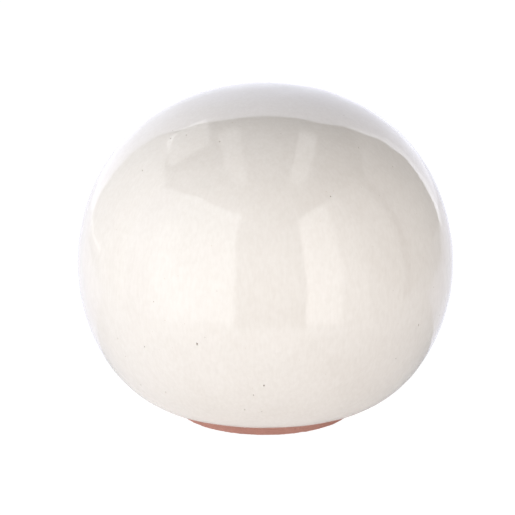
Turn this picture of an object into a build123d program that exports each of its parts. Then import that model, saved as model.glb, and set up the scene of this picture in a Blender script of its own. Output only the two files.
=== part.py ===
"""A hollow, slightly flattened pottery ball, glazed all over and standing on a bare clay foot.

Millimetres, +Z up. The origin is the centre of the foot's underside, so the ball stands on z = 0.
Every piece is a body of revolution about Z, drawn as a half section in the XZ plane.
"""

from build123d import *
import os

# Driving dimensions
EQUATOR_RADIUS = 75.0  # of the glazed ball, at its widest
EQUATOR_HEIGHT = 61.0  # of the widest circle, above the ground
CROWN_RISE = 71.6  # from the widest circle to the top: the ball is a little flattened
FOOT_RADIUS = 35.0  # of the foot's outer wall, where it stands
FOOT_FLARE = 1.4  # by which the foot widens up to the ball
FOOT_WIDTH = 8.0  # of the ring that the ball stands on
FOOT_HEIGHT = 4.7  # of bare clay between the ground and the glaze

GLAZE = 0.8  # thickness of the glaze coat
GLAZE_EDGE_GAP = 1.2  # bare clay between the foot's wall and the glaze's edge
WALL = 6.4  # thickness of the clay body
BASE = 8.0  # thickness of the clay under the hollow

# Shape of the ball's outline, as shares of its radius, rise and drop
UPPER_SIDE = 0.445  # how far the side goes on rising straight up
CROWN_FLAT = 0.71  # how far the crown stays level
LOWER_SIDE = 0.52  # how far the side goes on dropping straight down

# Joints between the pieces
LAP_HEIGHT = 3.0  # of the lap joint between the half shells
LAP_SHARE = 0.45  # of the wall that lies outside the lap joint
SEAM_COIL_HEIGHT = 16.0
SEAM_COIL_DEPTH = 2.6  # by which it stands out from the wall
SEAT_DEPTH = 0.8  # of the shallow groove that the foot ring is set into
FOOT_COIL_RADIUS = 1.8
FOOT_COIL_SINK = 0.6  # by which its centre lies inside and below the foot's inner corner
FOOT_ROUNDING = 0.9  # of the foot's lower edges
VENT_RADIUS = 1.7  # of the hole that lets the air out of the hollow in the kiln

# Worked out from them
BEYOND = 2 * EQUATOR_RADIUS  # longer than any radius or half of the ball
DROP = EQUATOR_HEIGHT - FOOT_HEIGHT
LAP_RADIUS = EQUATOR_RADIUS - GLAZE - LAP_SHARE * WALL
FOOT_TOP_RADIUS = FOOT_RADIUS + FOOT_FLARE
FOOT_INNER_RADIUS = FOOT_RADIUS - FOOT_WIDTH
CLAY_BASE_Z = FOOT_HEIGHT + GLAZE


def lower_handle():
    """How far out the base stays level: it gives the outline one curvature above and below the equator."""
    above = (1 - CROWN_FLAT) * EQUATOR_RADIUS / (UPPER_SIDE * CROWN_RISE) ** 2
    return EQUATOR_RADIUS - above * (LOWER_SIDE * DROP) ** 2


def ball(inset, base_radius, base_z):
    """A solid ball of the outline drawn in by inset, with a level base at base_z."""
    radius = EQUATOR_RADIUS - inset
    rise = CROWN_RISE - inset
    drop = EQUATOR_HEIGHT - base_z
    equator = (radius, EQUATOR_HEIGHT)
    crown = (0, EQUATOR_HEIGHT + rise)
    with BuildPart() as solid:
        with BuildSketch(Plane.XZ):
            with BuildLine():
                Bezier(
                    (base_radius, base_z),
                    (lower_handle() - inset, base_z),
                    (radius, EQUATOR_HEIGHT - LOWER_SIDE * drop),
                    equator,
                )
                Bezier(
                    equator,
                    (radius, EQUATOR_HEIGHT + UPPER_SIDE * rise),
                    (CROWN_FLAT * radius, EQUATOR_HEIGHT + rise),
                    crown,
                )
                Polyline(crown, (0, base_z), (base_radius, base_z))
            make_face()
        revolve(axis=Axis.Z)
    return solid.part


glazed = ball(0, FOOT_TOP_RADIUS, FOOT_HEIGHT)
clay = ball(GLAZE, FOOT_TOP_RADIUS, CLAY_BASE_Z)
hollow = ball(GLAZE + WALL, FOOT_INNER_RADIUS, CLAY_BASE_Z + BASE)

# Upper half of the clay body, with a rebate around its lower edge
with BuildPart() as upper_shell:
    add(clay)
    add(hollow, mode=Mode.SUBTRACT)
    with BuildSketch(Plane.XY.offset(EQUATOR_HEIGHT)):
        Circle(BEYOND)
    extrude(amount=-BEYOND, mode=Mode.SUBTRACT)
    with BuildSketch(Plane.XY.offset(EQUATOR_HEIGHT)):
        Circle(LAP_RADIUS)
    extrude(amount=LAP_HEIGHT, mode=Mode.SUBTRACT)
upper_shell.part.label = "upper_shell"

# Lower half, whose lip stands up into that rebate, with the foot's seat and the kiln vent
with BuildPart() as lower_shell:
    add(clay)
    add(hollow, mode=Mode.SUBTRACT)
    with BuildSketch(Plane.XY.offset(EQUATOR_HEIGHT)):
        Circle(BEYOND)
        Circle(LAP_RADIUS, mode=Mode.SUBTRACT)
    extrude(amount=BEYOND, mode=Mode.SUBTRACT)
    with BuildSketch(Plane.XY.offset(EQUATOR_HEIGHT + LAP_HEIGHT)):
        Circle(LAP_RADIUS)
    extrude(amount=BEYOND, mode=Mode.SUBTRACT)
    with BuildSketch(Plane.XY.offset(CLAY_BASE_Z)):
        Circle(FOOT_TOP_RADIUS)
        Circle(FOOT_INNER_RADIUS, mode=Mode.SUBTRACT)
    extrude(amount=SEAT_DEPTH, mode=Mode.SUBTRACT)
    with Locations((0, 0, CLAY_BASE_Z)):
        Hole(VENT_RADIUS)
lower_shell.part.label = "lower_shell"

# Coil pressed over the inside of the seam: a flattened oval with its outer half cut to the wall
with BuildPart() as seam_coil:
    with BuildSketch(Plane.XZ):
        with Locations((EQUATOR_RADIUS - GLAZE - WALL, EQUATOR_HEIGHT)):
            Ellipse(SEAM_COIL_DEPTH, SEAM_COIL_HEIGHT / 2)
    revolve(axis=Axis.Z)
    add(hollow, mode=Mode.INTERSECT)
seam_coil.part.label = "seam_coil"

# Foot ring, set into its seat in the base, with both lower edges rounded
with BuildPart() as foot_ring:
    with BuildSketch(Plane.XZ):
        with BuildLine():
            Polyline(
                (FOOT_INNER_RADIUS, 0),
                (FOOT_RADIUS, 0),
                (FOOT_TOP_RADIUS, CLAY_BASE_Z),
                (FOOT_TOP_RADIUS, CLAY_BASE_Z + SEAT_DEPTH),
                (FOOT_INNER_RADIUS, CLAY_BASE_Z + SEAT_DEPTH),
                close=True,
            )
        make_face()
    revolve(axis=Axis.Z)
    fillet(foot_ring.edges().group_by(Axis.Z)[0], radius=FOOT_ROUNDING)
foot_ring.part.label = "foot_ring"

# Thin coil in the corner between the base and the inside of the foot ring
with BuildPart() as foot_coil:
    with BuildSketch(Plane.XZ):
        with Locations((FOOT_INNER_RADIUS - FOOT_COIL_SINK, CLAY_BASE_Z - FOOT_COIL_SINK)):
            Circle(FOOT_COIL_RADIUS)
        with Locations((FOOT_INNER_RADIUS, CLAY_BASE_Z)):
            Rectangle(BEYOND, BEYOND, align=(Align.MAX, Align.MAX), mode=Mode.INTERSECT)
    revolve(axis=Axis.Z)
foot_coil.part.label = "foot_coil"

# Glaze over the clay, stopping just outside the foot in a rounded edge
with BuildPart() as glaze_coat:
    add(glazed)
    add(clay, mode=Mode.SUBTRACT)
    with BuildSketch(Plane.XY.offset(FOOT_HEIGHT)):
        Circle(FOOT_TOP_RADIUS + GLAZE_EDGE_GAP)
    extrude(amount=CLAY_BASE_Z, mode=Mode.SUBTRACT)
    fillet(glaze_coat.edges().group_by(Axis.Z)[0], radius=GLAZE / 2)
glaze_coat.part.label = "glaze_coat"

os.makedirs("parts", exist_ok=True)
for piece in (upper_shell, lower_shell, seam_coil, foot_ring, foot_coil, glaze_coat):
    export_step(piece.part, f"parts/{piece.part.label}.step")
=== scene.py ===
"""Looks of the glazed pottery ball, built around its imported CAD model.

Metres, +Z up, with the foot standing on z = 0. The ball, its foot and its base are bodies of
revolution with the small faults of hand work: a rippled glaze with pinholes, an uneven glaze
line, and turning marks and grog in the bare clay.
"""

import math
import random

import bpy
import numpy as np
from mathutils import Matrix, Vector, noise


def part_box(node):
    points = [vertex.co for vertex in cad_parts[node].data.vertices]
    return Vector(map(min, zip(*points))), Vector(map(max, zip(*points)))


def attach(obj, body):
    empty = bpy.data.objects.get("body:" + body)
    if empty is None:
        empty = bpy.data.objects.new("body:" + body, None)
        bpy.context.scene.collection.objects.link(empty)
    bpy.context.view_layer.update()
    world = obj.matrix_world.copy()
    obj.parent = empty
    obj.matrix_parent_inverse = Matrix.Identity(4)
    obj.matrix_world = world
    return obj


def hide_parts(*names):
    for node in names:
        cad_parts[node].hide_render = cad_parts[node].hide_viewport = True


MM = 0.001

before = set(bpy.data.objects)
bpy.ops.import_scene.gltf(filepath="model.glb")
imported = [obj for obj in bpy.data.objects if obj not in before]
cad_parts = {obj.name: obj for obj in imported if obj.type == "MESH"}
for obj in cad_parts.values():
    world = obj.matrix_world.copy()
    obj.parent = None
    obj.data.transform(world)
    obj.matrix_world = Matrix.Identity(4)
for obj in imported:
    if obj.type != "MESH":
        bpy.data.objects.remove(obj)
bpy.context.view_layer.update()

# ---------------------------------------------------------------- sizes, from the frame
glaze_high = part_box("glaze_coat")[1]
shell_low, shell_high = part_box("lower_shell")
foot_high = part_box("foot_ring")[1]
coil_low, coil_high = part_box("foot_coil")

BALL_RADIUS = glaze_high.x
BALL_TOP = glaze_high.z
EQUATOR_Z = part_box("upper_shell")[0].z
CLAY_BASE_Z = shell_low.z
GLAZE = BALL_RADIUS - shell_high.x
GLAZE_BASE_Z = CLAY_BASE_Z - GLAZE
FOOT_TOP_RADIUS = foot_high.x
FOOT_TOP_Z = foot_high.z
FOOT_INNER_RADIUS = coil_high.x
LAP_TOP_Z = shell_high.z

# Shape of the outline, as in the CAD model
UPPER_SIDE = 0.445
CROWN_FLAT = 0.71
LOWER_SIDE = 0.52
WALL = 6.4 * MM
BASE = 8 * MM
LAP_SHARE = 0.45  # of the wall that lies outside the lap joint
LAP_RADIUS = shell_high.x - LAP_SHARE * WALL
FOOT_FLARE = 1.4 * MM
VENT_RADIUS = 1.7 * MM
SEAT_DEPTH = FOOT_TOP_Z - CLAY_BASE_Z
FOOT_RADIUS = FOOT_TOP_RADIUS - FOOT_FLARE

# ---------------------------------------------------------------- camera
CAMERA_ELEVATION = math.radians(15)
CAMERA_DISTANCE = 12 * BALL_RADIUS
CAMERA_SENSOR = 36
CAMERA_LENS = 157.4
CAMERA_SHIFT = (-0.0151, 0.0085)


def add_camera():
    """The camera, aimed at the middle of the ball's widest circle."""
    camera = bpy.data.objects.new("camera", bpy.data.cameras.new("camera"))
    bpy.context.scene.collection.objects.link(camera)
    bpy.context.scene.camera = camera
    camera.data.sensor_width = CAMERA_SENSOR
    camera.data.lens = CAMERA_LENS
    camera.data.shift_x, camera.data.shift_y = CAMERA_SHIFT
    back = Vector((0, -math.cos(CAMERA_ELEVATION), math.sin(CAMERA_ELEVATION)))
    camera.location = Vector((0, 0, EQUATOR_Z)) + back * CAMERA_DISTANCE
    camera.rotation_euler = (-back).to_track_quat("-Z", "Y").to_euler()


# ---------------------------------------------------------------- outlines
def bezier(a, b, c, d, count=400):
    """Points along a cubic Bezier curve."""
    t = np.linspace(0, 1, count)[:, None]
    a, b, c, d = (np.array(p, float) for p in (a, b, c, d))
    return (1 - t) ** 3 * a + 3 * (1 - t) ** 2 * t * b + 3 * (1 - t) * t**2 * c + t**3 * d


def even(points, count, start=0.0):
    """count points at equal steps along a line, from the given distance on."""
    along = np.r_[0, np.cumsum(np.hypot(*np.diff(points, axis=0).T))]
    steps = np.linspace(start, along[-1], count)
    return np.stack([np.interp(steps, along, points[:, k]) for k in (0, 1)], 1)


def ball_outline(inset, base_radius, base_z):
    """The ball's outline (radius, height) from its base to its crown, drawn in by inset."""
    crown_rise = BALL_TOP - EQUATOR_Z
    bend = (1 - CROWN_FLAT) * BALL_RADIUS / (UPPER_SIDE * crown_rise) ** 2
    drop = EQUATOR_Z - GLAZE_BASE_Z
    base_level = BALL_RADIUS - bend * (LOWER_SIDE * drop) ** 2 - inset
    radius, rise = BALL_RADIUS - inset, crown_rise - inset
    top = EQUATOR_Z + rise
    below = bezier(
        (base_radius, base_z),
        (base_level, base_z),
        (radius, EQUATOR_Z - LOWER_SIDE * (EQUATOR_Z - base_z)),
        (radius, EQUATOR_Z),
    )
    above = bezier(
        (radius, EQUATOR_Z),
        (radius, EQUATOR_Z + UPPER_SIDE * rise),
        (CROWN_FLAT * radius, top),
        (0, top),
    )
    return np.vstack([below, above[1:]])


def arc(centre, radius, start, end, count):
    """Points on an arc of the half section, angles in degrees from +radius towards +Z."""
    angles = np.radians(np.linspace(start, end, count))
    return np.array(centre) + radius * np.stack([np.cos(angles), np.sin(angles)], 1)


# ---------------------------------------------------------------- meshes
def turn(section, segments):
    """Spins a half section of n points about Z, as an array of n rings of points."""
    around = np.linspace(0, 2 * math.pi, segments, endpoint=False)
    radius, height = section[:, 0, None], section[:, 1, None]
    return np.stack([radius * np.sin(around), -radius * np.cos(around), height + 0 * around], 2)


def ring_normals(rings, closed):
    """Outward unit normals of spun rings whose section runs anticlockwise."""
    if closed:
        along = np.roll(rings, -1, 0) - np.roll(rings, 1, 0)
    else:
        along = np.gradient(rings, axis=0)
    around = np.roll(rings, -1, 1) - np.roll(rings, 1, 1)
    normals = np.cross(around, along)
    return normals / np.maximum(np.linalg.norm(normals, axis=2, keepdims=True), 1e-12)


def bumps(rings, size, seed, stretch=1.0):
    """Smooth noise from about -1 to 1 at every point, with features of the given size."""
    shift = Vector((seed * 7.1, seed * 3.7, seed * 5.3))
    flat = rings.reshape(-1, 3) / size * (1, 1, 1 / stretch)
    values = [noise.noise(Vector(p) + shift) for p in flat.tolist()]
    return np.array(values).reshape(*rings.shape[:2], 1) * 2


def ring_faces(rows, segments, closed, first=0):
    """Quads between neighbouring rings, joined last to first if the section is a closed loop."""
    faces = []
    for row in range(rows if closed else rows - 1):
        low, high = first + row * segments, first + (row + 1) % rows * segments
        for k in range(segments):
            after = (k + 1) % segments
            faces.append((low + k, low + after, high + after, high + k))
    return faces


def make_piece(name, points, faces, material, node):
    """A smooth mesh object that stands for a CAD node."""
    mesh = bpy.data.meshes.new(name)
    mesh.from_pydata(points, [], faces)
    mesh.validate()
    mesh.shade_smooth()
    mesh.materials.append(material)
    piece = bpy.data.objects.new(name, mesh)
    bpy.context.scene.collection.objects.link(piece)
    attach(piece, "root")
    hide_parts(node)
    return piece


# ---------------------------------------------------------------- glaze
GLAZE_SEGMENTS = 420
GLAZE_ROWS = 186
GLAZE_INNER_ROWS = 24
GLAZE_EDGE_GAP = 1.2 * MM  # bare clay between the foot's wall and the glaze's edge
GLAZE_EDGE_RADIUS = FOOT_TOP_RADIUS + GLAZE_EDGE_GAP
LIP_POINTS = 9

# Ripples of the glaze: size round the ball, height, and how tall they are for their size
RIPPLES = ((42 * MM, 0.08 * MM, 1), (11 * MM, 0.05 * MM, 0.6), (5 * MM, 0.005 * MM, 1))
BEAD_HEIGHT = 0.15 * MM
BEAD_PLACE = 2.2 * MM
BEAD_WIDTH = 1.3 * MM
BEAD_PATCH = 18 * MM  # size of the patches where the bead is thicker or thinner
BEAD_VARIES = 0.5  # share of its height by which it does so
BEAD_SEED = 5
EDGE_WAVE = 0.25 * MM
EDGE_WAVE_SIZE = 14 * MM
EDGE_REACH = 4 * MM  # how far up the ball the glaze line's waves reach
EDGE_SEED = 6

# The pinholes that show most: azimuth in degrees from the front, height and radius
PINHOLES = (
    (-21, 47.4 * MM, 0.45 * MM),
    (-50, 117.4 * MM, 0.34 * MM),
    (-42, 119.5 * MM, 0.32 * MM),
    (-1, 30.5 * MM, 0.34 * MM),
    (-49, 22.6 * MM, 0.36 * MM),
    (-37, 23 * MM, 0.28 * MM),
    (-4, 26.8 * MM, 0.26 * MM),
    (-8, 18.7 * MM, 0.28 * MM),
    (52, 47.7 * MM, 0.34 * MM),
    (-52, 106.3 * MM, 0.26 * MM),
    (-22, 118.8 * MM, 0.24 * MM),
    (22, 101 * MM, 0.22 * MM),
    (56, 106.9 * MM, 0.26 * MM),
)
MORE_PINHOLES = 36
MORE_PINHOLE_RADII = (0.12, 0.24)  # in millimetres
MORE_PINHOLES_SEED = 4
PINHOLES_START = LIP_POINTS + 6  # the first row of the glaze that may hold one
PINHOLES_ABOVE_BASE = 3 * MM
PINHOLES_BELOW_TOP = 6 * MM
PINHOLE_ROOM = 0.7  # largest radius, as a share of half the shorter side of its cell
PIT_CLAY_AND_SHADE_RATE = 1.5  # how fast the colour of the pit comes in with its depth: the clay showing through, then painted shade deeper down
PINHOLE_DEPTH = 0.5 * MM
PINHOLE_STRETCH = 1.5  # how much taller than wide they are
# Rings of a pinhole: share of its radius, and share of its depth (down is positive)
PINHOLE_RINGS = ((1.25, 0.0), (1.05, -0.02), (0.85, 0.12), (0.6, 0.7), (0.3, 1.0))
PINHOLE_SIDES = 12


def glaze_section():
    """The glaze's half section: the outside from the lip to the crown, and the inside back."""
    lip_radius = GLAZE / 2
    lip_centre = (GLAZE_EDGE_RADIUS + lip_radius, CLAY_BASE_Z - lip_radius)
    outline = ball_outline(0, FOOT_TOP_RADIUS, GLAZE_BASE_Z)
    lip_start = lip_centre[0] - FOOT_TOP_RADIUS
    outside = even(outline, GLAZE_ROWS, start=lip_start)
    lip = arc(lip_centre, lip_radius, 90, 270, LIP_POINTS)
    clay = ball_outline(GLAZE, FOOT_TOP_RADIUS, CLAY_BASE_Z)
    inside = even(clay, GLAZE_INNER_ROWS, start=lip_start)
    return np.vstack([lip[:-1], outside[:-1]]), inside[:-1]


def shaped_glaze(rings):
    """The glaze's outside with its ripples, its thick rolled edge and its uneven glaze line."""
    normals = ring_normals(rings, closed=False)
    height = 0
    for seed, (size, high, stretch) in enumerate(RIPPLES):
        height = height + high * (bumps(rings, size, seed, stretch) - 1)
    along = np.r_[0, np.cumsum(np.linalg.norm(np.diff(rings[:, 0], axis=0), axis=1))][:, None, None]
    bead = BEAD_HEIGHT * np.exp(-(((along - BEAD_PLACE) / BEAD_WIDTH) ** 2))
    bead = bead * (1 + BEAD_VARIES * bumps(rings, BEAD_PATCH, BEAD_SEED))
    near_edge = np.exp(-((along / EDGE_REACH) ** 2))
    outward = rings * (1, 1, 0)
    outward /= np.maximum(np.linalg.norm(outward, axis=2, keepdims=True), 1e-12)
    wave = EDGE_WAVE * bumps(np.broadcast_to(rings[:1], rings.shape), EDGE_WAVE_SIZE, EDGE_SEED)
    return rings + normals * (height * (1 - near_edge) + bead) + outward * wave * near_edge


def pinhole_cells(rings):
    """The grid cells that hold a pinhole, each with its radius: the ones that show, then others."""
    heights = rings[:, 0, 2]
    cells = {}
    for azimuth, height, radius in PINHOLES:
        row = PINHOLES_START + int(np.argmin(np.abs(heights[PINHOLES_START:] - height)))
        cells[row, round(azimuth / 360 * GLAZE_SEGMENTS) % GLAZE_SEGMENTS] = radius
    draw = random.Random(MORE_PINHOLES_SEED)
    while len(cells) < len(PINHOLES) + MORE_PINHOLES:
        height = draw.uniform(GLAZE_BASE_Z + PINHOLES_ABOVE_BASE, BALL_TOP - PINHOLES_BELOW_TOP)
        row = PINHOLES_START + int(np.argmin(np.abs(heights[PINHOLES_START:] - height)))
        column = draw.randrange(GLAZE_SEGMENTS)
        cells.setdefault((row, column), draw.uniform(*MORE_PINHOLE_RADII) * MM)
    return cells


def add_pinhole(points, faces, marks, corners, radius):
    """Fills the hole left by one quad of the grid with a round pit."""
    a, b, c, d = (np.array(points[k]) for k in corners)
    middle = (a + b + c + d) / 4
    across, up = (b + c - a - d) / 4, (c + d - a - b) / 4
    normal = np.cross(across, up)
    normal /= np.linalg.norm(normal)
    width, height = np.linalg.norm(across), np.linalg.norm(up)
    radius = min(radius, PINHOLE_ROOM * min(width, height))
    rings = []
    for share, depth in PINHOLE_RINGS:
        ring = []
        for k in range(PINHOLE_SIDES):
            angle = math.radians(225 + 360 * k / PINHOLE_SIDES)
            step = across / width * math.cos(angle) + PINHOLE_STRETCH * up / height * math.sin(angle)
            ring.append(len(points))
            points.append((middle + step * radius * share - normal * depth * PINHOLE_DEPTH).tolist())
            # Painted shade: each ring's darkening follows its depth in the pit, on top of the clay colour
            # that shows there
            marks.append(min(max(depth, 0.0) * PIT_CLAY_AND_SHADE_RATE, 1.0))
        rings.append(ring)
    quarter = PINHOLE_SIDES // 4
    for k, corner in enumerate(corners):
        rim = [rings[0][(quarter * k + j - 1) % PINHOLE_SIDES] for j in range(quarter + 1)]
        faces.extend((corner, rim[j + 1], rim[j]) for j in range(quarter))
        faces.append((corner, corners[(k + 1) % 4], rim[-1]))
    for outer, inner in zip(rings, rings[1:]):
        for k in range(PINHOLE_SIDES):
            after = (k + 1) % PINHOLE_SIDES
            faces.append((outer[k], outer[after], inner[after], inner[k]))
    faces.append(tuple(rings[-1]))


def add_glaze():
    """The coat of glaze: outside, rolled edge, pinholes and the inside against the clay."""
    outside_section, inside_section = glaze_section()
    outside = shaped_glaze(turn(outside_section, GLAZE_SEGMENTS))
    inside = turn(inside_section, GLAZE_SEGMENTS)
    rows, inner_rows = len(outside), len(inside)
    points = outside.reshape(-1, 3).tolist() + inside.reshape(-1, 3).tolist()
    marks = [0.0] * len(points)
    cells = pinhole_cells(outside)
    faces = []
    for k, face in enumerate(ring_faces(rows, GLAZE_SEGMENTS, closed=False)):
        radius = cells.get((k // GLAZE_SEGMENTS, k % GLAZE_SEGMENTS))
        if radius:
            add_pinhole(points, faces, marks, face, radius)
        else:
            faces.append(face)
    start = rows * GLAZE_SEGMENTS
    faces += [f[::-1] for f in ring_faces(inner_rows, GLAZE_SEGMENTS, closed=False, first=start)]
    top_ring, top_inner = start - GLAZE_SEGMENTS, start + (inner_rows - 1) * GLAZE_SEGMENTS
    crown, inner_crown = len(points), len(points) + 1
    points.append((0, 0, outside[-1, :, 2].mean()))
    points.append((0, 0, BALL_TOP - GLAZE))
    marks += [0.0, 0.0]
    for k in range(GLAZE_SEGMENTS):
        after = (k + 1) % GLAZE_SEGMENTS
        faces.append((top_ring + k, top_ring + after, crown))
        faces.append((top_inner + after, top_inner + k, inner_crown))
        faces.append((after, k, start + k, start + after))
    piece = make_piece("glaze", points, faces, glaze_material(), "glaze_coat")
    # Depth marks of the pinholes, which the glaze's colour turns into clay colour and painted shade
    pit = piece.data.attributes.new("pit", "FLOAT", "POINT")
    pit.data.foreach_set("value", marks)
    return piece


# ---------------------------------------------------------------- foot and base
FOOT_SEGMENTS = 480
FOOT_STEP = 0.35 * MM  # between the points of the foot's section
FOOT_ROUNDS = 3  # of averaging that ease its corners
FOOT_SEED = 11
GROG = ((1.6 * MM, 0.05 * MM), (0.7 * MM, 0.035 * MM))  # size and height of the clay's coarse grain
GROG_SINK = 0.04 * MM  # by which the clay between the grog lies back
TURNING_PITCH = 1.15 * MM  # of the turning marks on the foot's wall
TURNING_HEIGHT = 0.05 * MM
BASE_SEGMENTS = 240
BASE_PITCH = 2.4 * MM  # of the coarser turning marks on the base
BASE_HEIGHT = 0.15 * MM
BASE_STEP = 0.23 * MM  # between the points that draw those marks
VENT_EASE = 0.5 * MM  # by which the vent's lower edge is bevelled
BASE_OUTSIDE = 400  # points along the clay's whole outline, of which the base keeps some
BASE_NEAR_FOOT = 60  # the first of them, which lie near the foot
BASE_NEAR_SKIP = 3  # it keeps every third one there
BASE_FAR_SKIP = 12  # and every twelfth one further up
BASE_INSIDE = 90  # points along the hollow's whole outline
COIL_DENTS = 15  # fingertip marks round the coil
COIL_DENT = 0.16  # share of the coil's thickness that a fingertip presses in
COIL_DRIFT = 9 * MM  # size of the drift in the spacing of those marks
COIL_SEED = 21
COIL_POINTS = 12  # round the coil's visible quarter


def rough_clay(rings, seed):
    """Closed rings of bare clay with grog that stands out of the surface."""
    normals = ring_normals(rings, closed=True)
    height = sum(high * bumps(rings, size, seed + k) for k, (size, high) in enumerate(GROG))
    return rings + normals * (height - GROG_SINK)


def polyline(corners, step):
    """A closed outline through the corners, with points about a step apart."""
    points = []
    for start, end in zip(corners, corners[1:] + corners[:1]):
        start, end = np.array(start), np.array(end)
        count = max(1, round(float(np.linalg.norm(end - start)) / step))
        points += [start + (end - start) * k / count for k in range(count)]
    return np.array(points)


def rounded(outline, rounds):
    """Eases the corners of a closed outline by averaging each point with its neighbours."""
    for _ in range(rounds):
        outline = (np.roll(outline, 1, 0) + 2 * outline + np.roll(outline, -1, 0)) / 4
    return outline


def add_foot():
    """The foot ring: bare clay with faint turning marks on its wall and a worn lower edge."""
    seat = FOOT_TOP_Z
    corners = [
        (FOOT_INNER_RADIUS, 0),
        (FOOT_RADIUS, 0),
        (FOOT_TOP_RADIUS, CLAY_BASE_Z),
        (FOOT_TOP_RADIUS, seat),
        (FOOT_INNER_RADIUS, seat),
    ]
    section = rounded(polyline(corners, FOOT_STEP), FOOT_ROUNDS)
    section[:, 0] -= TURNING_HEIGHT * np.abs(np.sin(section[:, 1] * math.pi / TURNING_PITCH))
    rings = rough_clay(turn(section, FOOT_SEGMENTS), seed=FOOT_SEED)
    rings[:, :, 2] = np.maximum(rings[:, :, 2], 0)
    faces = ring_faces(len(section), FOOT_SEGMENTS, closed=True)
    points = rings.reshape(-1, 3).tolist()
    return make_piece("foot", points, faces, clay_material("foot_clay"), "foot_ring")


def add_base():
    """The lower half of the clay body, whose underside shows turning marks and the vent."""
    clay = even(ball_outline(GLAZE, FOOT_TOP_RADIUS, CLAY_BASE_Z), BASE_OUTSIDE)
    clay = clay[clay[:, 1] < EQUATOR_Z]
    hollow = ball_outline(GLAZE + WALL, FOOT_INNER_RADIUS, CLAY_BASE_Z + BASE)
    hollow = even(hollow, BASE_INSIDE)
    hollow = hollow[hollow[:, 1] < LAP_TOP_Z][::-1]
    seat = CLAY_BASE_Z + SEAT_DEPTH
    turned = np.arange(VENT_RADIUS + VENT_EASE, FOOT_INNER_RADIUS - BASE_STEP, BASE_STEP)
    grooves = BASE_HEIGHT * np.abs(np.sin(turned * math.pi / BASE_PITCH))
    underside = np.stack([turned, CLAY_BASE_Z + grooves], 1)
    section = np.vstack([
        [(VENT_RADIUS, CLAY_BASE_Z + VENT_EASE)],
        underside,
        [(FOOT_INNER_RADIUS, CLAY_BASE_Z), (FOOT_INNER_RADIUS, seat), (FOOT_TOP_RADIUS, seat)],
        clay[:BASE_NEAR_FOOT:BASE_NEAR_SKIP],
        clay[BASE_NEAR_FOOT::BASE_FAR_SKIP],
        [(shell_high.x, EQUATOR_Z), (LAP_RADIUS, EQUATOR_Z), (LAP_RADIUS, LAP_TOP_Z)],
        hollow,
        [(VENT_RADIUS, CLAY_BASE_Z + BASE)],
    ])
    points = turn(section, BASE_SEGMENTS).reshape(-1, 3).tolist()
    faces = ring_faces(len(section), BASE_SEGMENTS, closed=True)
    return make_piece("base", points, faces, clay_material("body_clay"), "lower_shell")


def add_foot_coil():
    """The coil in the foot's inner corner, pressed in with a fingertip all the way round."""
    corner = (FOOT_INNER_RADIUS, CLAY_BASE_Z)
    section = np.vstack([[corner], arc(corner, coil_high.z - coil_low.z, 180, 270, COIL_POINTS)])
    rings = turn(section, FOOT_SEGMENTS)
    around = np.linspace(0, 2 * math.pi, FOOT_SEGMENTS, endpoint=False)[:, None]
    drift = bumps(rings[:1], COIL_DRIFT, COIL_SEED)
    pressed = COIL_DENT * (0.5 + 0.5 * np.sin(COIL_DENTS * around + drift[0])) ** 2
    rings = rings[:1] + (rings - rings[:1]) * (1 - pressed)
    points = rings.reshape(-1, 3).tolist()
    faces = ring_faces(len(section), FOOT_SEGMENTS, closed=True)
    return make_piece("coil", points, faces, clay_material("coil_clay"), "foot_coil")


# ---------------------------------------------------------------- materials
GLAZE_LIGHT = (0.835, 0.777, 0.722, 1)
GLAZE_DARK = (0.775, 0.712, 0.652, 1)
GLAZE_SPECK = (0.36, 0.25, 0.17, 1)
GLAZE_FLECK = (0.62, 0.5, 0.39, 1)
# The pinholes' colour: partly the darker clay that shows through the glaze, partly painted shade that
# grows deeper in the pit
PIT_CLAY_AND_SHADE_COLOUR = (0.3, 0.21, 0.15, 1)
CLAY_LIGHT = (0.62, 0.33, 0.27, 1)
CLAY_DARK = (0.50, 0.25, 0.20, 1)
PALE_GROG = (0.7, 0.43, 0.35, 1)
DARK_GROG = (0.28, 0.13, 0.1, 1)
GLAZE_ROUGHNESS = (0.045, 0.08)
GLAZE_IOR = 1.6
ORANGE_PEEL = 0.004 * MM
CLAY_ROUGHNESS = (0.78, 0.95)
CLAY_SPECULAR = 0.3
CLAY_GRAIN = 0.05 * MM
SPECK_CORE = 0.6  # share of a speck's radius that has its full colour


def new_material(name):
    """A new material, its node tree and its Principled shader."""
    material = bpy.data.materials.new(name)
    material.use_nodes = True
    return material, material.node_tree, material.node_tree.nodes["Principled BSDF"]


def add_node(tree, kind, inputs, **settings):
    """A new node; inputs maps a socket's name or number to a value or to another socket."""
    made = tree.nodes.new(kind)
    for key, value in settings.items():
        setattr(made, key, value)
    for key, value in inputs.items():
        if isinstance(value, bpy.types.NodeSocket):
            tree.links.new(value, made.inputs[key])
        else:
            made.inputs[key].default_value = value
    return made


def place(tree, stretch=(1, 1, 1)):
    """Coordinates fixed to the piece, in metres."""
    coords = tree.nodes.new("ShaderNodeTexCoord").outputs["Object"]
    return add_node(tree, "ShaderNodeMapping", {"Vector": coords, "Scale": stretch}).outputs[0]


def noise_value(tree, size, low, high, detail=2.0, stretch=(1, 1, 1)):
    """Noise with features of the given size in metres, stretched so that low to high is 0 to 1."""
    made = add_node(
        tree, "ShaderNodeTexNoise", {"Vector": place(tree, stretch), "Scale": 1 / size, "Detail": detail}
    )
    return ramp(tree, made.outputs["Fac"], low, high)


def ramp(tree, value, low, high, out_low=0.0, out_high=1.0):
    """value, eased from out_low to out_high as it goes from low to high."""
    inputs = {"Value": value, 1: low, 2: high, 3: out_low, 4: out_high}
    return add_node(tree, "ShaderNodeMapRange", inputs, interpolation_type="SMOOTHSTEP").outputs[0]


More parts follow.
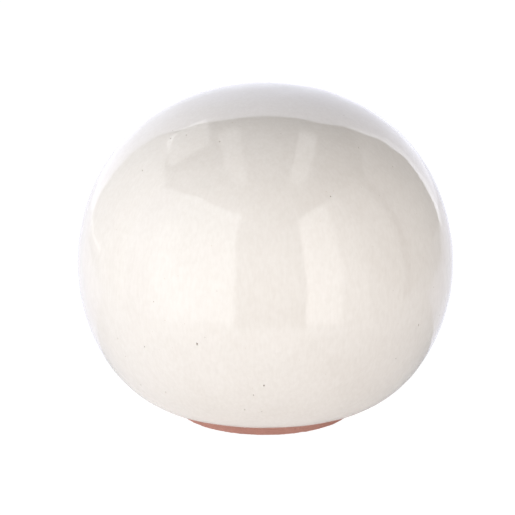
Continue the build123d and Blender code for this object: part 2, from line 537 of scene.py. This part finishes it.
def math_value(tree, operation, a, b):
    """One sum, product or the like of two values."""
    return add_node(tree, "ShaderNodeMath", {0: a, 1: b}, operation=operation).outputs[0]


def weighted(tree, *parts):
    """The sum of several values, each given with its share."""
    total = 0.0
    for value, share in parts:
        inputs = {0: value, 1: share, 2: total}
        total = add_node(tree, "ShaderNodeMath", inputs, operation="MULTIPLY_ADD").outputs[0]
    return total


def mix_colour(tree, factor, a, b):
    """Colour a where factor is 0 and b where it is 1."""
    made = tree.nodes.new("ShaderNodeMix")
    made.data_type = "RGBA"
    for socket, value in zip((made.inputs[0], made.inputs[6], made.inputs[7]), (factor, a, b)):
        if isinstance(value, bpy.types.NodeSocket):
            tree.links.new(value, socket)
        else:
            socket.default_value = value
    return made.outputs[2]


def specks(tree, spacing, radius, share):
    """Round specks: 1 inside one, in the given share of cells a spacing apart."""
    cells = add_node(
        tree, "ShaderNodeTexVoronoi", {"Vector": place(tree), "Scale": 1 / spacing, "Randomness": 1.0}
    )
    edge = radius / spacing
    inside = ramp(tree, cells.outputs["Distance"], edge * SPECK_CORE, edge, 1.0, 0.0)
    chance = add_node(tree, "ShaderNodeSeparateColor", {"Color": cells.outputs["Color"]}).outputs[0]
    chosen = math_value(tree, "LESS_THAN", chance, share)
    return math_value(tree, "MULTIPLY", inside, chosen)


def bump(tree, height, distance, strength=1.0):
    """A bump map of the given depth in metres."""
    inputs = {"Height": height, "Distance": distance, "Strength": strength}
    return add_node(tree, "ShaderNodeBump", inputs).outputs[0]


def glaze_material():
    """Glossy opaque cream glaze: cloudy and mottled, with fine specks, and pinholes darkened partly by
    the clay in them and partly by painted shade.
    """
    material, tree, shader = new_material("cream_glaze")
    cloud = noise_value(tree, 28 * MM, 0.35, 0.65, detail=3)
    mottle = noise_value(tree, 2.6 * MM, 0.3, 0.7, detail=4)
    streak = noise_value(tree, 1.1 * MM, 0.3, 0.7, stretch=(1, 1, 0.3))
    blend = weighted(tree, (cloud, 0.3), (mottle, 0.3), (streak, 0.4))
    colour = mix_colour(tree, blend, GLAZE_DARK, GLAZE_LIGHT)
    colour = mix_colour(tree, specks(tree, 6 * MM, 0.22 * MM, 0.16), colour, GLAZE_SPECK)
    colour = mix_colour(tree, specks(tree, 2.5 * MM, 0.16 * MM, 0.12), colour, GLAZE_FLECK)
    # Pinholes: the clay's colour and painted shade, stronger the deeper into the pit
    pit = add_node(tree, "ShaderNodeAttribute", {}, attribute_name="pit").outputs["Fac"]
    colour = mix_colour(tree, pit, colour, PIT_CLAY_AND_SHADE_COLOUR)
    tree.links.new(colour, shader.inputs["Base Color"])
    rough = ramp(tree, noise_value(tree, 9 * MM, 0.2, 0.8), 0, 1, *GLAZE_ROUGHNESS)
    tree.links.new(rough, shader.inputs["Roughness"])
    orange_peel = noise_value(tree, 1.7 * MM, 0.2, 0.8)
    tree.links.new(bump(tree, orange_peel, ORANGE_PEEL), shader.inputs["Normal"])
    shader.inputs["IOR"].default_value = GLAZE_IOR
    return material


def clay_material(name):
    """Bare fired clay: matte dusty rose, with a sandy grain and pale and dark grog."""
    material, tree, shader = new_material(name)
    cloud = noise_value(tree, 14 * MM, 0.3, 0.7, detail=3)
    grain = noise_value(tree, 0.45 * MM, 0.25, 0.75, detail=3)
    blend = weighted(tree, (cloud, 0.45), (grain, 0.55))
    colour = mix_colour(tree, blend, CLAY_DARK, CLAY_LIGHT)
    colour = mix_colour(tree, specks(tree, 1.6 * MM, 0.24 * MM, 0.15), colour, PALE_GROG)
    colour = mix_colour(tree, specks(tree, 2.3 * MM, 0.22 * MM, 0.2), colour, DARK_GROG)
    tree.links.new(colour, shader.inputs["Base Color"])
    rough = ramp(tree, noise_value(tree, 1.2 * MM, 0.2, 0.8), 0, 1, *CLAY_ROUGHNESS)
    tree.links.new(rough, shader.inputs["Roughness"])
    tree.links.new(bump(tree, grain, CLAY_GRAIN), shader.inputs["Normal"])
    shader.inputs["Specular IOR Level"].default_value = CLAY_SPECULAR
    return material


# ---------------------------------------------------------------- studio
SWEEP_FRONT = 0.197  # radius of its round front
SWEEP_TURN = 60  # degrees to which the front goes on being round
SWEEP_WIDENS = 0.9  # how far back it reaches its full width
SWEEP_BACK = 1.6
SWEEP_WIDTH = 3.2
SWEEP_GLOW = 0.19
SWEEP_POINTS = 49  # round its front
SWEEP_COLOUR = (0.86, 0.86, 0.87, 1)
SWEEP_ROUGHNESS = 0.9
SWEEP_SPECULAR = 0.1
SWEEP_HAZE = 0.85  # share of plain white that the camera sees over the floor
SWEEP_WHITE = 1.12

NEUTRAL, WARM, COOL = (1, 1, 1), (1, 0.9, 0.8), (0.94, 0.96, 1)
LAMP_POWER = 4  # energy for each square metre of a lamp of brightness 1

# Upright panels: azimuth that their wall stands at, left and right end, brightness and tint
PANEL_DISTANCE = 1.1
PANEL_LOW = -0.6
PANEL_HIGH = 1.15
PANELS = {
    "key": (-55, 0.27, 0.83, 1.21, (0.91, 0.97, 1)),
    "key_middle": (-55, -0.28, 0.27, 1.05, (0.9, 0.96, 1)),
    "key_far": (-55, -0.83, -0.28, 0.72, (0.92, 0.93, 1)),
    "fill": (60, -0.80, -0.27, 1.35, NEUTRAL),
    "fill_middle": (60, -0.27, 0.05, 0.7, NEUTRAL),
    "fill_far": (60, 0.05, 0.6, 0.36, NEUTRAL),
    "left_wall": (-115, -0.5, 0.5, 0.74, NEUTRAL),
    "right_wall": (120, -0.5, 0.5, 0.34, NEUTRAL),
}

# Ceiling lights: left and right edge, front and back edge, brightness
CEILING = 1.5
CEILING_LIGHTS = {
    "strip_left": (-0.49, -0.26, -0.65, 0.5, 0.6),
    "strip_right": (0.34, 0.58, -0.65, 0.5, 0.75),
    "ceiling_left": (-1.3, -0.6, 0.3, 1.25, 0.8),
}

# Form lamps: azimuth, elevation, size, brightness and tint
FORM_DISTANCE = 1.5
FORM_LAMPS = {
    "form_middle": (0, 0, (0.8, 0.8), 1.12, WARM),
    "form_front": (0, 25, (1.2, 1.2), 1.02, COOL),
    "form_left": (-55, 25, (1.2, 1.2), 0.88, COOL),
    "form_far_left": (-105, 10, (1.2, 1.2), 0.54, NEUTRAL),
    "form_far_right": (105, 10, (1.2, 1.2), 0.3, COOL),
    "form_back": (180, 30, (1.2, 1.2), 0.7, (0.7, 0.8, 1)),
    "form_low": (0, -30, (1.6, 0.6), 0.8, NEUTRAL),
    "form_low_left": (-60, -30, (1.6, 0.6), 0.1, COOL),
    "form_low_right": (75, -14, (1.2, 0.6), 0.8, NEUTRAL),
}

BACKDROP_DISTANCE = 1.3
BACKDROP_WIDTH = 2.18
BACKDROP_HEIGHT = 1.93
BACKDROP_CORNER = 4.2  # how square the corners are: 2 would make half an ellipse
BACKDROP_POINTS = 61  # round its sides and top
PAPER_COLOUR = (0.89, 0.9, 1, 1)
BACKDROP_GLOW = 1.6

# The same paper, spread over the floor in front of it
APRON_FRONT = 0.04  # how far back it starts: under the back of the ball, just behind the foot
APRON_FRONT_WIDTH = 0.5
APRON_HEIGHT = 0.002
APRON_GLOW = 0.95

ROOM_DARK = (0, 0, 0, 1)
ROOM_SEEN = (1, 1, 1, 1)  # by the camera


def add_sweep():
    """The pale floor: round in front of the ball, where it ends, and wide behind it."""
    angles = np.radians(np.linspace(-SWEEP_TURN, SWEEP_TURN, SWEEP_POINTS))
    points = [(SWEEP_FRONT * math.sin(a), -SWEEP_FRONT * math.cos(a), 0) for a in angles]
    points += [(SWEEP_WIDTH / 2, SWEEP_WIDENS, 0), (SWEEP_WIDTH / 2, SWEEP_BACK, 0)]
    points += [(-SWEEP_WIDTH / 2, SWEEP_BACK, 0), (-SWEEP_WIDTH / 2, SWEEP_WIDENS, 0)]
    mesh = bpy.data.meshes.new("sweep")
    mesh.from_pydata(points, [], [tuple(range(len(points)))])
    material, tree, shader = new_material("sweep")
    shader.inputs["Base Color"].default_value = SWEEP_COLOUR
    shader.inputs["Roughness"].default_value = SWEEP_ROUGHNESS
    shader.inputs["Specular IOR Level"].default_value = SWEEP_SPECULAR
    shader.inputs["Emission Color"].default_value = (1, 1, 1, 1)
    shader.inputs["Emission Strength"].default_value = SWEEP_GLOW
    looked_at = tree.nodes.new("ShaderNodeLightPath").outputs["Is Camera Ray"]
    haze = math_value(tree, "MULTIPLY", looked_at, SWEEP_HAZE)
    white = add_node(tree, "ShaderNodeEmission", {"Color": (1, 1, 1, 1), "Strength": SWEEP_WHITE})
    mixed = add_node(tree, "ShaderNodeMixShader", {0: haze, 1: shader.outputs[0], 2: white.outputs[0]})
    tree.links.new(mixed.outputs[0], tree.nodes["Material Output"].inputs["Surface"])
    mesh.materials.append(material)
    sweep = bpy.data.objects.new("sweep", mesh)
    bpy.context.scene.collection.objects.link(sweep)


def add_lamp(name, place, facing, size, brightness, tint=NEUTRAL, mirrored=True, lights=True):
    """A rectangular lamp at a place, facing along a vector; mirrored and lights say what it adds."""
    lamp = bpy.data.lights.new(name, "AREA")
    lamp.shape = "RECTANGLE"
    lamp.size, lamp.size_y = size
    lamp.energy = LAMP_POWER * size[0] * size[1] * brightness
    lamp.color = tint
    holder = bpy.data.objects.new(name, lamp)
    bpy.context.scene.collection.objects.link(holder)
    holder.location = place
    holder.rotation_euler = Vector(facing).to_track_quat("-Z", "Y").to_euler()
    holder.visible_camera = False
    holder.visible_glossy = mirrored
    holder.visible_diffuse = lights
    return holder


def toward(azimuth, elevation=0.0):
    """The direction from the ball at an azimuth from the front and an elevation, in degrees."""
    turned, raised = math.radians(azimuth), math.radians(elevation)
    return Vector((
        math.sin(turned) * math.cos(raised),
        -math.cos(turned) * math.cos(raised),
        math.sin(raised),
    ))


def add_panel(name, azimuth, left, right, brightness, tint):
    """An upright panel, part of a wall of light that stands at an azimuth from the front."""
    out = toward(azimuth)
    along = toward(azimuth + 90)
    middle = (PANEL_LOW + PANEL_HIGH) / 2
    place = out * PANEL_DISTANCE + along * (left + right) / 2 + Vector((0, 0, middle))
    return add_lamp(name, place, -out, (right - left, PANEL_HIGH - PANEL_LOW), brightness, tint)


def add_form_lamp(name, azimuth, elevation, size, brightness, tint):
    """A soft lamp that shapes the ball without showing in the glaze."""
    out = toward(azimuth, elevation)
    place = Vector((0, 0, EQUATOR_Z)) + out * FORM_DISTANCE
    return add_lamp(name, place, -out, size, brightness, tint, mirrored=False)


def add_ceiling_light(name, left, right, front, back, brightness):
    """A light flat on the ceiling, seen in the glaze."""
    place = ((left + right) / 2, (front + back) / 2, CEILING)
    return add_lamp(name, place, (0, 0, -1), (right - left, back - front), brightness, lights=False)


def add_paper(name, points, glow):
    """A flat sheet of glowing paper that shows in the glaze and adds no light of its own."""
    mesh = bpy.data.meshes.new(name)
    mesh.from_pydata(points, [], [tuple(range(len(points)))])
    material, _, shader = new_material(name)
    shader.inputs["Base Color"].default_value = (0, 0, 0, 1)
    shader.inputs["Emission Color"].default_value = PAPER_COLOUR
    shader.inputs["Emission Strength"].default_value = glow
    mesh.materials.append(material)
    paper = bpy.data.objects.new(name, mesh)
    bpy.context.scene.collection.objects.link(paper)
    paper.visible_camera = False
    paper.visible_diffuse = False


def add_backdrop():
    """The white paper behind the ball: an upright sheet with round upper corners."""
    angles = np.linspace(0, math.pi, BACKDROP_POINTS)
    across, up = np.cos(angles), np.sin(angles)
    squared = (np.abs(across) ** BACKDROP_CORNER + up**BACKDROP_CORNER) ** (-1 / BACKDROP_CORNER)
    points = [
        (BACKDROP_WIDTH / 2 * a * k, BACKDROP_DISTANCE, BACKDROP_HEIGHT * b * k)
        for a, b, k in zip(across, up, squared)
    ]
    add_paper("backdrop", points, BACKDROP_GLOW)


def add_apron():
    """The paper that runs on from the backdrop's foot towards the ball."""
    points = [
        (-BACKDROP_WIDTH / 2, BACKDROP_DISTANCE, APRON_HEIGHT),
        (-APRON_FRONT_WIDTH / 2, APRON_FRONT, APRON_HEIGHT),
        (APRON_FRONT_WIDTH / 2, APRON_FRONT, APRON_HEIGHT),
        (BACKDROP_WIDTH / 2, BACKDROP_DISTANCE, APRON_HEIGHT),
    ]
    add_paper("apron", points, APRON_GLOW)


def add_world(room, seen):
    """An even room, which the camera sees in a colour of its own."""
    world = bpy.data.worlds.new("room")
    bpy.context.scene.world = world
    world.use_nodes = True
    tree = world.node_tree
    looked_at = tree.nodes.new("ShaderNodeLightPath").outputs["Is Camera Ray"]
    colour = mix_colour(tree, looked_at, room, seen)
    tree.links.new(colour, tree.nodes["Background"].inputs["Color"])


def add_studio():
    """Walls of light in front and at the sides, ceiling lights, soft lamps for the form, and the room."""
    for name, values in PANELS.items():
        add_panel(name, *values)
    for name, values in CEILING_LIGHTS.items():
        add_ceiling_light(name, *values)
    for name, values in FORM_LAMPS.items():
        add_form_lamp(name, *values)
    add_world(ROOM_DARK, ROOM_SEEN)
    bpy.context.scene.view_settings.view_transform = "Standard"


# ---------------------------------------------------------------- making
add_camera()
add_sweep()
add_backdrop()
add_apron()
add_studio()
add_glaze()
add_foot()
add_base()
add_foot_coil()
for node_name in ("upper_shell", "seam_coil"):
    node_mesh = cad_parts[node_name].data
    node_mesh.materials.clear()
    node_mesh.materials.append(clay_material(node_name))
